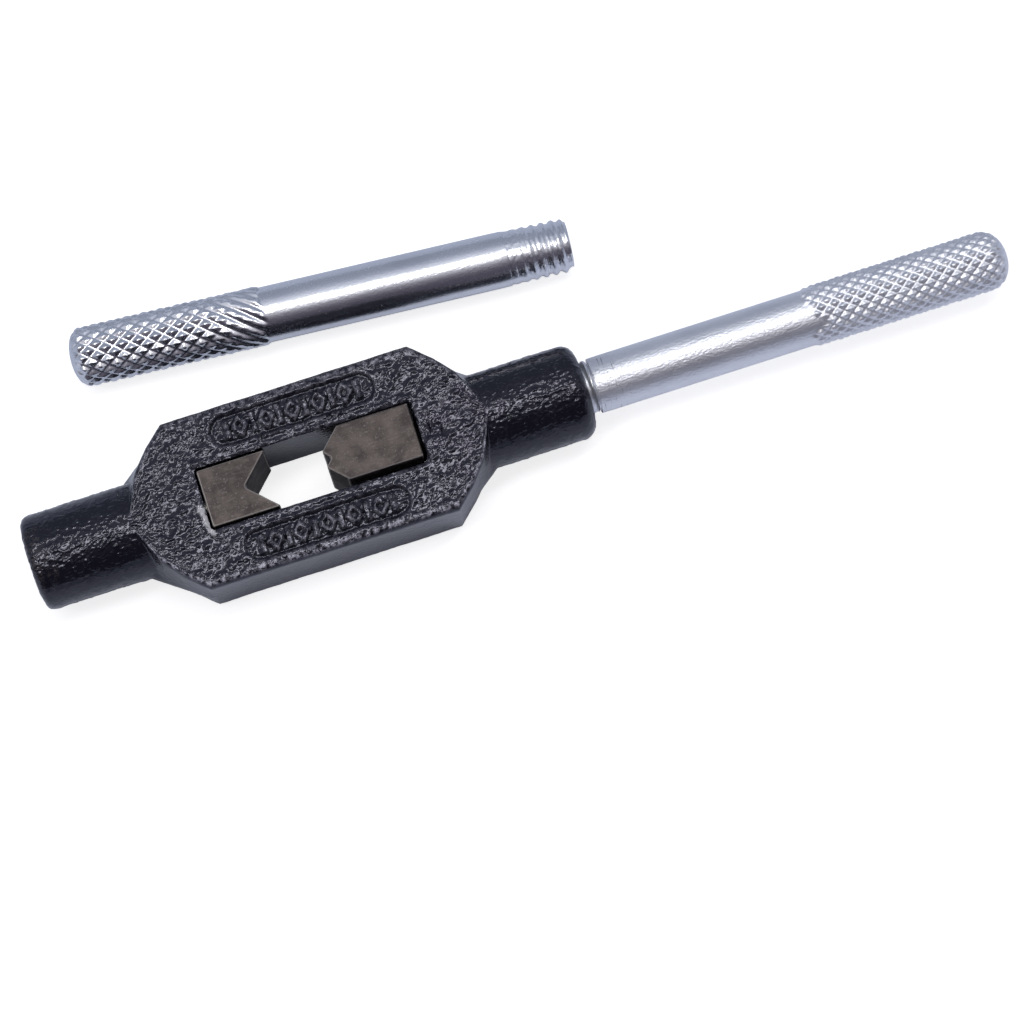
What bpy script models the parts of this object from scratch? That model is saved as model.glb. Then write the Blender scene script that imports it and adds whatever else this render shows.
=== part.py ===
"""Adjustable two-handle tap wrench, with one handle screwed in and the other lying beside it.

Metres, +Z up. The long axis of the wrench lies along X, its flat frame rests on z = 0, and the
middle of the whole arrangement's footprint is the world origin.
"""

import math

import bmesh
import bpy
from mathutils import Matrix, Vector

MM = 0.001

# ---- casting: a flat frame with a round barrel at each end (millimetres from the frame's middle)
BARREL_R = 6.0
BARREL_END = 35.4
NECK_X = 22.6
WALL_NECK_X = 22.3
LEFT_RIDGE_SHIFT = 0.6
CORNER_X = 16.0
FRAME_W = 21.4
FACE_HALF_AT_NECK = 1.35
EDGE_R = 1.1
LEFT_RIM_R = 1.1
RIGHT_RIM_R = 1.8
AXIS_Z = BARREL_R
FACE_Z = 2 * BARREL_R

# ---- window between the two barrels
WINDOW_X0 = -13.2
WINDOW_X1 = 14.3
WINDOW_HALF_W = 3.95
WINDOW_CORNER_R = 0.5
WINDOW_CHAMFER = 0.3

# ---- name panels beside the window
PANEL_X = 0.4
PANEL_Y = 7.35
PANEL_LENGTH = 20.4
PANEL_WIDTH = 3.4
PANEL_DEPTH = 0.4
PANEL_LOZENGES = 6

# ---- screw thread, drawn as plain cylinders at its outside diameter
PITCH = 1.25
THREAD_R = 3.42
THREAD_HOLE_R = 3.52
SHANK_R = 3.5
SHANK_HOLE_R = 3.7
KNURL_R = 3.8
ADJUSTING_DOME = 3.1
PLAIN_DOME = 2.1
DOME_POWER = 2.2

# ---- jaws
FIXED_BACK_X = -12.9
FIXED_APEX_X = -7.9
FIXED_MOUTH_HALF_W = 3.5
FIXED_TIP_X = FIXED_APEX_X + FIXED_MOUTH_HALF_W
FIXED_HALF_W = 3.6
FIXED_Z0 = 0.2
FIXED_Z1 = 12.1
NOSE_X = 2.35
NOSE_HALF_W = 1.1
NOTCH_DEPTH = 0.85
MOVING_BACK_X = 13.85
MOVING_Y0 = -3.2
MOVING_Y1 = 3.65
MOVING_Z0 = 0.2
MOVING_Z1 = 12.7
JAW_BEVEL = 0.22

# ---- adjusting handle and the spindle on its inner end
TURNS = 7
TRAVEL = TURNS * PITCH
HANDLE_SHOULDER_X = 36.6
HANDLE_KNURL_X = 65.4
HANDLE_TIP_X = 90.2
SPINDLE_THREAD_X = 14.6
SPINDLE_NOSE_R = 2.5
SPINDLE_NOSE_X = 9.0
JAW_HOLE_R = 2.58
JAW_HOLE_X = 8.7
GROOVE_X = 11.3
GROOVE_HALF_W = 0.9
GROOVE_R = 1.6
PIN_R = 0.8
PIN_DROP = GROOVE_R + PIN_R + 0.06

# ---- plain handle, loose on the table behind the frame
PLAIN_SHOULDER = (31.5, 19.35)
PLAIN_TURN = math.radians(-4.6)
PLAIN_SHANK = 30.9
PLAIN_KNURL = 24.7
PLAIN_THREAD = 8.0

# ---- screw that holds the fixed jaw, at the bottom of the left barrel's hole
LEFT_HOLE_X = -24.6
SCREW_HEAD_R = 2.9
SCREW_HEAD_X0 = -24.9
SCREW_HEAD_X1 = -22.6
SCREW_R = 1.75
SCREW_END_X = -10.0

SEGMENTS = 48

PLAIN_REACH = PLAIN_SHANK + PLAIN_KNURL - PLAIN_DOME
PLAIN_BACK_Y = PLAIN_SHOULDER[1] - PLAIN_REACH * math.sin(PLAIN_TURN) + KNURL_R * math.cos(PLAIN_TURN)
ORIGIN = Vector(((HANDLE_TIP_X - BARREL_END) / 2, (PLAIN_BACK_Y - FRAME_W / 2) / 2, 0.0))


def clear_scene():
    for obj in list(bpy.data.objects):
        bpy.data.objects.remove(obj, do_unlink=True)


def make_material(name, color, metallic, roughness):
    material = bpy.data.materials.new(name)
    material.use_nodes = True
    shader = material.node_tree.nodes["Principled BSDF"]
    shader.inputs["Base Color"].default_value = (*color, 1.0)
    shader.inputs["Metallic"].default_value = metallic
    shader.inputs["Roughness"].default_value = roughness
    return material


def make_object(name, points, faces, material=None):
    """A mesh object from points in millimetres about the frame's middle."""
    mesh = bpy.data.meshes.new(name)
    mesh.from_pydata([(Vector(p) - ORIGIN) * MM for p in points], [], faces)
    edit = bmesh.new()
    edit.from_mesh(mesh)
    bmesh.ops.recalc_face_normals(edit, faces=edit.faces)
    edit.to_mesh(mesh)
    edit.free()
    obj = bpy.data.objects.new(name, mesh)
    bpy.context.scene.collection.objects.link(obj)
    if material:
        mesh.materials.append(material)
    return obj


def skin(rings, name, material=None):
    """Joins equal rings of points into one closed body, with a flat cap on each end."""
    count = len(rings[0])
    points = [p for ring in rings for p in ring]
    faces = [list(range(count))[::-1], [len(points) - count + i for i in range(count)]]
    for k in range(len(rings) - 1):
        for i in range(count):
            a = k * count + i
            b = k * count + (i + 1) % count
            faces.append([a, b, b + count, a + count])
    return make_object(name, points, faces, material)


def turned(name, profile, material=None, axis_y=0.0, axis_z=AXIS_Z):
    """A round body about a line along X, from (x, radius) pairs."""
    rings = []
    for x, radius in profile:
        angles = [2 * math.pi * i / SEGMENTS for i in range(SEGMENTS)]
        rings.append([(x, axis_y + radius * math.cos(a), axis_z + radius * math.sin(a)) for a in angles])
    return skin(rings, name, material)


def prism(name, outline, z0, z1, material=None):
    rings = [[(x, y, z) for x, y in outline] for z in (z0, z1)]
    return skin(rings, name, material)


def combine(obj, other, operation):
    other.hide_render = True
    other.display_type = "WIRE"
    modifier = obj.modifiers.new(operation.title(), "BOOLEAN")
    modifier.operation = operation
    modifier.solver = "EXACT"
    modifier.object = other


def cut(obj, cutter):
    combine(obj, cutter, "DIFFERENCE")


def add_bevel(obj, width, segments=2):
    modifier = obj.modifiers.new("Bevel", "BEVEL")
    modifier.width = width * MM
    modifier.segments = segments
    modifier.limit_method = "ANGLE"
    modifier.angle_limit = math.radians(30)


def smooth(obj):
    obj.data.shade_smooth()
    obj.data.set_sharp_from_angle(angle=math.radians(35))


def on_axis(obj, x, y, z):
    """Parents the object to an empty that marks its joint axis."""
    mark = bpy.data.objects.new(obj.name + "_axis", None)
    mark.empty_display_size = 5 * MM
    mark.location = (Vector((x, y, z)) - ORIGIN) * MM
    bpy.context.scene.collection.objects.link(mark)
    obj.parent = mark
    obj.matrix_parent_inverse = Matrix.Translation(-mark.location)


# ---- casting


def ridge_across(x):
    """Half width of the top face's corner line at a place along the axis."""
    stops = ((CORNER_X, FRAME_W / 2), (18.6, 8.2), (20.7, 5.6), (21.8, 3.2), (NECK_X, FACE_HALF_AT_NECK))
    place = min(max(abs(x) + (LEFT_RIDGE_SHIFT if x < 0 else 0.0), CORNER_X), NECK_X)
    for (x0, w0), (x1, w1) in zip(stops, stops[1:]):
        if place <= x1:
            return w0 + (w1 - w0) * (place - x0) / (x1 - x0)
    return FACE_HALF_AT_NECK


def wall_across(x):
    """Half width at the parting line, halfway up."""
    share = min(1.0, max(0.0, (WALL_NECK_X - abs(x)) / (WALL_NECK_X - CORNER_X)))
    return BARREL_R + (FRAME_W / 2 - BARREL_R) * share


def half_section(x):
    """(across, up) points from the top face down one side of the frame."""
    ridge, wall = ridge_across(x), wall_across(x)
    edge = EDGE_R * (0.4 + 0.6 * ridge / (FRAME_W / 2))
    length = math.hypot(wall - ridge, BARREL_R)
    foot = (ridge + (wall - ridge) * edge / length, BARREL_R - BARREL_R * edge / length)
    upper = []
    for k in range(6):
        t = k / 5
        across = (1 - t) ** 2 * (ridge - edge) + 2 * t * (1 - t) * ridge + t * t * foot[0]
        up = (1 - t * t) * BARREL_R + t * t * foot[1]
        upper.append((across, up))
    for k in range(1, 7):
        upper.append((foot[0] + (wall - foot[0]) * k / 6, foot[1] * (1 - k / 6)))
    side = upper + [(across, -up) for across, up in reversed(upper[:-1])]
    return [push_out(point) for point in side]


def push_out(point):
    """The point, moved straight out to the barrel's surface if it is inside."""
    distance = math.hypot(*point)
    grow = max(1.0, BARREL_R / distance)
    return (point[0] * grow, point[1] * grow)


def casting_ring(x, shrink=0.0):
    """One section. On the barrels the points spread out evenly round the circle."""
    neck = [math.atan2(across, up) for across, up in half_section(math.copysign(NECK_X, x))]
    even = [neck[0] + (math.pi - 2 * neck[0]) * k / (len(neck) - 1) for k in range(len(neck))]
    spread = min(1.0, max(0.0, (abs(x) - NECK_X) / 3.4))
    if abs(x) < NECK_X:
        side = half_section(x)
    else:
        radius = BARREL_R - shrink
        angles = [a + (b - a) * spread for a, b in zip(neck, even)]
        side = [(radius * math.sin(angle), radius * math.cos(angle)) for angle in angles]
    ring = [(x, y, AXIS_Z + z) for y, z in side]
    ring += [(x, -y, AXIS_Z + z) for y, z in reversed(side)]
    return ring


def casting_stations():
    """(x, shrink) from the left barrel's rim to the right one's."""
    xs = [26.0, 24.8, 23.7, 22.6, 22.3, 22.05, 21.8, 21.4, 21.0, 20.7, 19.7, 18.6, 17.3, 16.0, 15.4, 14.0]
    straight = [(x, 0.0) for x in xs]
    left = rim_stations(LEFT_RIM_R) + straight
    right = rim_stations(RIGHT_RIM_R) + straight
    return [(-x, s) for x, s in left] + [(x, s) for x, s in reversed(right)]


def rim_stations(rim):
    """(x, shrink) round a barrel's outer edge, from its end face inwards."""
    turns = [math.pi / 2 * k / 5 for k in range(6)]
    return [(BARREL_END - rim * (1 - math.cos(turn)), rim * (1 - math.sin(turn))) for turn in turns]


def rounded_rectangle(x0, x1, half_w, radius, grow):
    points = []
    for cx, cy, start in (
        (x1 - radius, half_w - radius, 0),
        (x0 + radius, half_w - radius, 90),
        (x0 + radius, -half_w + radius, 180),
        (x1 - radius, -half_w + radius, 270),
    ):
        for k in range(4):
            angle = math.radians(start + 30 * k)
            points.append((cx + (radius + grow) * math.cos(angle), cy + (radius + grow) * math.sin(angle)))
    return points


def window_cutter():
    rings = []
    flare = 0.6
    for z, grow in (
        (-flare, WINDOW_CHAMFER + flare),
        (WINDOW_CHAMFER, 0.0),
        (FACE_Z - WINDOW_CHAMFER, 0.0),
        (FACE_Z + flare, WINDOW_CHAMFER + flare),
    ):
        outline = rounded_rectangle(WINDOW_X0, WINDOW_X1, WINDOW_HALF_W, WINDOW_CORNER_R, grow)
        rings.append([(x, y, z) for x, y in outline])
    return skin(rings, "window_cutter")


def stadium(length, width, x, y):
    points = []
    radius = width / 2
    reach = length / 2 - radius
    for side, start in ((1, -90), (-1, 90)):
        for k in range(13):
            angle = math.radians(start + 15 * k)
            points.append((x + side * reach + radius * math.cos(angle), y + radius * math.sin(angle)))
    return points


def cut_panel(body, y, label):
    """A sunk panel with a row of raised lozenges."""
    outline = stadium(PANEL_LENGTH, PANEL_WIDTH, PANEL_X, y)
    cut(body, prism("panel_cutter_" + label, outline, FACE_Z - PANEL_DEPTH, FACE_Z + 1))
    step = (PANEL_LENGTH - 2.4) / PANEL_LOZENGES
    for k in range(PANEL_LOZENGES):
        x = PANEL_X + (k - (PANEL_LOZENGES - 1) / 2) * step
        diamond = [(x + 1.1, y), (x, y + 0.9), (x - 1.1, y), (x, y - 0.9)]
        name = "lozenge_%s_%d" % (label, k)
        combine(body, prism(name, diamond, FACE_Z - PANEL_DEPTH - 1, FACE_Z - 0.12), "UNION")


def make_casting(material):
    rings = [casting_ring(x, shrink) for x, shrink in casting_stations()]
    body = skin(rings, "body_casting", material)
    smooth(body)
    cut(body, window_cutter())
    cut(body, turned("left_hole_cutter", [
        (-BARREL_END - 1.5, THREAD_HOLE_R + 2.0),
        (-BARREL_END + 0.5, THREAD_HOLE_R),
        (LEFT_HOLE_X - 0.4, THREAD_HOLE_R),
        (LEFT_HOLE_X - 0.39, SCREW_HEAD_R + 0.1),
        (SCREW_HEAD_X1 + 0.05, SCREW_HEAD_R + 0.1),
        (SCREW_HEAD_X1 + 0.06, SCREW_R + 0.05),
        (WINDOW_X0 + 3, SCREW_R + 0.05),
    ]))
    cut(body, turned("right_hole_cutter", [
        (WINDOW_X1 - 3, THREAD_HOLE_R),
        (HANDLE_SHOULDER_X - TRAVEL - 0.8, THREAD_HOLE_R),
        (HANDLE_SHOULDER_X - TRAVEL - 0.5, SHANK_HOLE_R),
        (BARREL_END - 0.4, SHANK_HOLE_R),
        (BARREL_END + 1.6, SHANK_HOLE_R + 2.0),
    ]))
    cut_panel(body, PANEL_Y, "back")
    cut_panel(body, -PANEL_Y, "front")
    return body


# ---- jaws


def make_fixed_jaw(material):
    outline = [
        (FIXED_BACK_X, -FIXED_HALF_W),
        (FIXED_TIP_X - 0.05, -FIXED_HALF_W),
        (FIXED_TIP_X, -FIXED_MOUTH_HALF_W),
        (FIXED_APEX_X, 0.0),
        (FIXED_TIP_X, FIXED_MOUTH_HALF_W),
        (FIXED_TIP_X - 0.05, FIXED_HALF_W),
        (FIXED_BACK_X, FIXED_HALF_W),
    ]
    jaw = prism("fixed_jaw", outline, FIXED_Z0, FIXED_Z1, material)
    add_bevel(jaw, JAW_BEVEL)
    hole = [(FIXED_BACK_X - 2, SCREW_R + 0.03), (SCREW_END_X + 0.2, SCREW_R + 0.03)]
    cut(jaw, turned("screw_hole_cutter", hole))
    return jaw


def make_fixed_jaw_screw(material):
    screw = turned("fixed_jaw_screw", [
        (SCREW_HEAD_X0, SCREW_HEAD_R - 0.4),
        (SCREW_HEAD_X0 + 0.4, SCREW_HEAD_R),
        (SCREW_HEAD_X1, SCREW_HEAD_R),
        (SCREW_HEAD_X1 + 0.01, SCREW_R),
        (SCREW_END_X - 0.4, SCREW_R),
        (SCREW_END_X, SCREW_R - 0.4),
    ], material)
    smooth(screw)
    slot = [(SCREW_HEAD_X0 - 1, -0.4), (SCREW_HEAD_X0 + 1, -0.4), (SCREW_HEAD_X0 + 1, 0.4), (SCREW_HEAD_X0 - 1, 0.4)]
    cut(screw, prism("screw_slot_cutter", slot, AXIS_Z - 4, AXIS_Z + 4))
    return screw


def make_moving_jaw(material):
    outline = [
        (NOSE_X + NOTCH_DEPTH, 0.0),
        (NOSE_X, -NOTCH_DEPTH),
        (NOSE_X, -NOSE_HALF_W),
        (NOSE_X - NOSE_HALF_W - MOVING_Y0, MOVING_Y0),
        (MOVING_BACK_X, MOVING_Y0),
        (MOVING_BACK_X, MOVING_Y1),
        (NOSE_X - NOSE_HALF_W + MOVING_Y1, MOVING_Y1),
        (NOSE_X, NOSE_HALF_W),
        (NOSE_X, NOTCH_DEPTH),
    ]
    jaw = prism("moving_jaw", outline[::-1], MOVING_Z0, MOVING_Z1, material)
    add_bevel(jaw, JAW_BEVEL / 2)
    cut(jaw, turned("spindle_hole_cutter", [(JAW_HOLE_X, JAW_HOLE_R), (MOVING_BACK_X + 2, JAW_HOLE_R)]))
    cut(jaw, cross_pin("pin_hole_cutter", PIN_R + 0.03, MOVING_Y0 - 1, MOVING_Y1 + 1))
    return jaw


def cross_pin(name, radius, y0, y1, material=None):
    """A round body along Y, under the spindle's axis and in line with its groove."""
    rings = []
    for y in (y0, y1):
        angles = [2 * math.pi * i / 24 for i in range(24)]
        z = AXIS_Z - PIN_DROP
        rings.append([(GROOVE_X + radius * math.cos(a), y, z + radius * math.sin(a)) for a in angles])
    return skin(rings, name, material)


# ---- handles


def knurled_end(knurl_x, tip_x, dome):
    """Profile of the gripping end: a short cone up to the knurl, then a domed tip."""
    profile = [(knurl_x - 0.15, SHANK_R), (knurl_x + 0.15, KNURL_R), (tip_x - dome, KNURL_R)]
    for share in (0.3, 0.5, 0.68, 0.83, 0.94, 0.99):
        radius = KNURL_R * (1 - share ** DOME_POWER) ** (1 / DOME_POWER)
        profile.append((tip_x - dome + dome * share, radius))
    return profile + [(tip_x, 0.2)]


def make_adjusting_handle(material):
    profile = [
        (SPINDLE_NOSE_X, SPINDLE_NOSE_R - 0.3),
        (SPINDLE_NOSE_X + 0.3, SPINDLE_NOSE_R),
        (GROOVE_X - GROOVE_HALF_W - 0.01, SPINDLE_NOSE_R),
        (GROOVE_X - GROOVE_HALF_W, GROOVE_R),
        (GROOVE_X + GROOVE_HALF_W, GROOVE_R),
        (GROOVE_X + GROOVE_HALF_W + 0.01, SPINDLE_NOSE_R),
        (SPINDLE_THREAD_X - 0.01, SPINDLE_NOSE_R),
        (SPINDLE_THREAD_X, THREAD_R - 0.4),
        (SPINDLE_THREAD_X + 0.4, THREAD_R),
        (HANDLE_SHOULDER_X - 0.01, THREAD_R),
        (HANDLE_SHOULDER_X, SHANK_R - 0.04),
        (HANDLE_SHOULDER_X + 0.3, SHANK_R),
    ]
    handle = turned("adjusting_handle", profile + knurled_end(HANDLE_KNURL_X, HANDLE_TIP_X, ADJUSTING_DOME), material)
    smooth(handle)
    on_axis(handle, HANDLE_SHOULDER_X, 0, AXIS_Z)
    return handle


def make_plain_handle(material):
    """Built along +X from its thread to its tip, then laid on the table."""
    profile = [
        (-PLAIN_THREAD, THREAD_R - 0.7),
        (-PLAIN_THREAD + 0.7, THREAD_R),
        (-0.01, THREAD_R),
        (0.0, SHANK_R - 0.04),
        (0.3, SHANK_R),
    ]
    profile += knurled_end(PLAIN_SHANK, PLAIN_SHANK + PLAIN_KNURL, PLAIN_DOME)
    turn = math.pi + PLAIN_TURN
    rings = []
    for s, radius in profile:
        ring = []
        for i in range(SEGMENTS):
            angle = 2 * math.pi * i / SEGMENTS
            across = radius * math.cos(angle)
            x = PLAIN_SHOULDER[0] + s * math.cos(turn) - across * math.sin(turn)
            y = PLAIN_SHOULDER[1] + s * math.sin(turn) + across * math.cos(turn)
            ring.append((x, y, KNURL_R + radius * math.sin(angle)))
        rings.append(ring)
    handle = skin(rings, "plain_handle", material)
    smooth(handle)
    on_axis(handle, PLAIN_SHOULDER[0], PLAIN_SHOULDER[1], KNURL_R)
    return handle


def main():
    clear_scene()
    black = make_material("black_paint", (0.02, 0.022, 0.026), 0.0, 0.3)
    dark_steel = make_material("jaw_steel", (0.16, 0.14, 0.13), 1.0, 0.45)
    plated = make_material("plated_steel", (0.74, 0.75, 0.77), 1.0, 0.25)
    pin_steel = make_material("pin_steel", (0.45, 0.45, 0.46), 1.0, 0.35)
    make_casting(black)
    make_fixed_jaw(dark_steel)
    make_fixed_jaw_screw(pin_steel)
    moving = make_moving_jaw(dark_steel)
    pin = cross_pin("moving_jaw_pin", PIN_R, MOVING_Y0 + 0.1, MOVING_Y1 - 0.1, pin_steel)
    for obj in (moving, pin):
        on_axis(obj, MOVING_BACK_X, 0, AXIS_Z)
    make_adjusting_handle(plated)
    make_plain_handle(plated)


main()
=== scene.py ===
# %% [markdown]
# # An adjustable tap wrench
#
# A tap wrench turns the small square end of a thread-cutting tap. This one is a black cast frame
# with a window in the middle. One V jaw is fixed in the window, and the other slides: it sits on the
# end of a screw, and that screw is the inner end of the right handle. The left handle is unscrewed
# and lies behind the frame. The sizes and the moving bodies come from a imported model, and these
# cells give each piece its real surface.

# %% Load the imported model
import math

import bmesh
import bpy
import numpy as np
from mathutils import Euler, Matrix, Vector, noise


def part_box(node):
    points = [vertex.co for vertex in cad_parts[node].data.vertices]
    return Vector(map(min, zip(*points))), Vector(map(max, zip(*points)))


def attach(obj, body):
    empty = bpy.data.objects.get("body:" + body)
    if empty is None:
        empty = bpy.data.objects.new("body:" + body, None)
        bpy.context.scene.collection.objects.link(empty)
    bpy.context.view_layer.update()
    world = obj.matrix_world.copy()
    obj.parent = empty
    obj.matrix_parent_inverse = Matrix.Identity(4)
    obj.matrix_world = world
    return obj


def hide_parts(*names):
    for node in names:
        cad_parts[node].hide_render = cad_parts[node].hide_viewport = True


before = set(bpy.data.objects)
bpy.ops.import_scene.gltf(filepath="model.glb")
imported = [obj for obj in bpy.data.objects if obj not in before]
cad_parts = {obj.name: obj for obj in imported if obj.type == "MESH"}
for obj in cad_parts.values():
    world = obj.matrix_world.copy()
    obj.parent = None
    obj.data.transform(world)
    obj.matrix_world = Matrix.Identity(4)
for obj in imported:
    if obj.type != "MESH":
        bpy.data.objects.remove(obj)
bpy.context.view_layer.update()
MM = 0.001
low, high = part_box("body_casting")
MIDDLE = Vector(((low.x + high.x) / 2, (low.y + high.y) / 2, 0.0))
print("casting", [round(v / MM, 2) for v in high - low], "mm, middle at", MIDDLE)

# %% [markdown]
# ## Where the camera stands
#
# The view looks down steeply from the front, about 79 degrees above the table and 14 degrees to the
# left of straight on, with a long lens from 0.4 m. The aim point and the small roll are given from
# the middle of the casting, so they stay right if the model's origin moves. An empty for the camera
# to track would also aim it, but three directions worked out here keep the roll exact.

# %% Camera
LENS_MM, SENSOR_MM = 116.25, 36.0
VIEW_AZIMUTH = math.radians(-13.95)
VIEW_ELEVATION = math.radians(79.17)
VIEW_ROLL = math.radians(-4.07)
VIEW_DISTANCE = 0.41016
AIM = MIDDLE + Vector((22.41, -10.76, 0.0)) * MM


def add_object(name, data):
    obj = bpy.data.objects.new(name, data)
    bpy.context.scene.collection.objects.link(obj)
    return obj


def place_camera():
    data = bpy.data.cameras.new("camera")
    data.sensor_width = SENSOR_MM
    data.lens = LENS_MM
    camera = add_object("camera", data)
    flat = math.cos(VIEW_ELEVATION)
    back = Vector((
        math.sin(VIEW_AZIMUTH) * flat, -math.cos(VIEW_AZIMUTH) * flat, math.sin(VIEW_ELEVATION),
    ))
    right = Vector((0, 0, 1)).cross(back).normalized()
    right = Matrix.Rotation(VIEW_ROLL, 3, back) @ right
    up = back.cross(right)
    spot = AIM + back * VIEW_DISTANCE
    camera.matrix_world = Matrix.Translation(spot) @ Matrix((right, up, back)).transposed().to_4x4()
    bpy.context.scene.camera = camera
    return camera


camera = place_camera()
print("camera at", [round(v / MM, 1) for v in camera.matrix_world.translation], "mm")

# %% [markdown]
# ## Writing shader maths as Python
#
# A finish is a small graph of nodes. Placing every Math node by hand hides the idea behind it, so
# one class wraps a socket and lets numbers be added and multiplied as usual. A second class holds
# the material and makes any other kind of node.

# %% Shader helpers
MIX_A, MIX_B, MIX_RESULT = 6, 7, 2  # the Mix node's colour sockets


class Value:
    """A number that varies over a surface, held by a node's socket, that works in sums."""

    def __init__(self, finish, socket):
        self.finish = finish
        self.socket = socket

    def __add__(self, other):
        return self.finish.maths("ADD", self, other)

    def __sub__(self, other):
        return self.finish.maths("SUBTRACT", self, other)

    def __mul__(self, other):
        return self.finish.maths("MULTIPLY", self, other)

    def __rsub__(self, other):
        return self.finish.maths("SUBTRACT", other, self)

    __radd__ = __add__
    __rmul__ = __mul__


class Finish:
    """A material and its nodes, or the nodes of a tree that already exists."""

    def __init__(self, name, tree=None):
        if tree is None:
            self.material = bpy.data.materials.new(name)
            self.material.use_nodes = True
            tree = self.material.node_tree
            self.shader = tree.nodes["Principled BSDF"]
        self.tree = tree

    def feed(self, socket, value):
        """Gives a socket a constant or a link."""
        value = getattr(value, "socket", value)
        if isinstance(value, bpy.types.NodeSocket):
            self.tree.links.new(value, socket)
        else:
            socket.default_value = value

    def node(self, kind, settings, sockets):
        """Any node: its settings first, then what its sockets hold."""
        made = self.tree.nodes.new("ShaderNode" + kind)
        for name, setting in settings.items():
            if name == "stops":
                self.fill_ramp(made.color_ramp, setting)
            else:
                setattr(made, name, setting)
        for name, value in sockets.items():
            self.feed(made.inputs[name], value)
        return made

    def fill_ramp(self, ramp, stops):
        while len(ramp.elements) < len(stops):
            ramp.elements.new(1.0)
        for element, (position, color) in zip(ramp.elements, stops):
            element.position = position
            element.color = (*color, 1.0)

    def value(self, node, output=0):
        return Value(self, node.outputs[output])

    def maths(self, operation, first, second=0.0):
        return self.value(self.node("Math", {"operation": operation}, {0: first, 1: second}))

    def clamp(self, value):
        return self.value(self.node("Clamp", {}, {"Value": value}))

    def step(self, value, start, end):
        """0 below the start, 1 above the end and a smooth rise between them."""
        settings = {"interpolation_type": "SMOOTHSTEP"}
        sockets = {"Value": value, "From Min": start, "From Max": end}
        return self.value(self.node("MapRange", settings, sockets))

    def mix(self, share, first, second):
        """One colour where the share is 0 and the other where it is 1."""
        made = self.node("Mix", {"data_type": "RGBA"}, {"Factor": share, MIX_A: first, MIX_B: second})
        return made.outputs[MIX_RESULT]

    def place(self):
        return self.node("TexCoord", {}, {}).outputs["Object"]

    def grain(self, size_mm, detail=2.0, stretch=(1.0, 1.0, 1.0)):
        """Noise with lumps of about this size, longer along an axis whose stretch is under 1."""
        scale = self.node("VectorMath", {"operation": "MULTIPLY"}, {0: self.place(), 1: stretch})
        sockets = {"Vector": scale.outputs[0], "Scale": 1 / MM / size_mm, "Detail": detail}
        return self.value(self.node("TexNoise", {}, sockets), "Fac")

    def attribute(self, name):
        """A value that the mesh holds at each of its points."""
        return self.value(self.node("Attribute", {"attribute_name": name}, {}), "Fac")

    def bump(self, height, depth_mm, strength=1.0):
        """A normal that leans as a surface of this height and depth would."""
        sockets = {"Strength": strength, "Distance": depth_mm * MM, "Height": height}
        return self.node("Bump", {}, sockets).outputs[0]


print("shader helpers ready")

# %% [markdown]
# ## Meshes from grids of points
#
# Every turned or cast surface here is a grid: rings of points that follow each other along an axis.
# Modifiers could displace a coarser mesh, but a fine grid whose points are worked out holds real
# knurls, threads and cast skin, so the shape is there from every side and not only in the shading.

# %% Mesh helpers


def add_mark(mesh, mark, values):
    """Keeps one value for each point of the mesh, for a finish to read."""
    attribute = mesh.attributes.new(mark, "FLOAT", "POINT")
    attribute.data.foreach_set("value", values.astype(np.float32).ravel())


def face_outward(mesh):
    edit = bmesh.new()
    edit.from_mesh(mesh)
    bmesh.ops.recalc_face_normals(edit, faces=edit.faces)
    edit.to_mesh(mesh)
    edit.free()


def grid_mesh(name, points, marks=None):
    """A closed mesh from rings of points, in millimetres from the casting's middle.

    The points are an array of rings, around and 3, and the marks hold one value for each point.
    """
    rings, around = points.shape[:2]
    index = np.arange(rings * around).reshape(rings, around)
    following = np.roll(index, -1, axis=1)
    quads = np.stack([index[:-1], following[:-1], following[1:], index[1:]], axis=-1).reshape(-1, 4)
    ends = [index[0][::-1].tolist(), index[-1].tolist()]
    flat = points.reshape(-1, 3) * MM + np.array(MIDDLE)
    mesh = bpy.data.meshes.new(name)
    mesh.from_pydata(flat.tolist(), [], quads.tolist() + ends)
    for mark, values in (marks or {}).items():
        add_mark(mesh, mark, values)
    face_outward(mesh)
    mesh.shade_smooth()
    return add_object(name, mesh)


def smoothstep(value, start, end):
    """The same rise as a finish's step, on an array."""
    share = np.clip((value - start) / (end - start), 0.0, 1.0)
    return share * share * (3 - 2 * share)


def noise_at(points, size_mm, seed=0.0):
    """Smooth noise of about -1 to 1 at each point of an array whose last axis is x, y, z."""
    flat = points.reshape(-1, 3) / size_mm + seed
    made = np.array([noise.noise(p) for p in flat.tolist()])
    return made.reshape(points.shape[:-1]) * 2.0


def apply_modifiers(obj):
    """Makes what the modifiers give the object's own mesh."""
    graph = bpy.context.evaluated_depsgraph_get()
    mesh = bpy.data.meshes.new_from_object(obj.evaluated_get(graph))
    obj.modifiers.clear()
    obj.data = mesh


def cut_away(obj, cutter):
    """Cuts the cutter out of the object, then removes the cutter."""
    modifier = obj.modifiers.new("cut", "BOOLEAN")
    modifier.operation = "DIFFERENCE"
    modifier.solver = "EXACT"
    modifier.object = cutter
    apply_modifiers(obj)
    bpy.data.objects.remove(cutter)


print("mesh helpers ready")

# %% [markdown]
# ## The casting's outline
#
# A sand casting starts as a pattern that can be pulled from the sand: a flat frame that narrows to a
# round barrel at each end. Halfway up the frame narrows in straight lines, while its top face bends
# in to a point on top of the barrel. A wall joins the two, and any point of it that would be inside
# the barrel is pushed out to the barrel's surface, which leaves a crisp corner at the neck. Joining a
# plate and a rod with a Boolean would give the same outline, but its faces there would be too long and
# thin to carry the cast skin.

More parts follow.
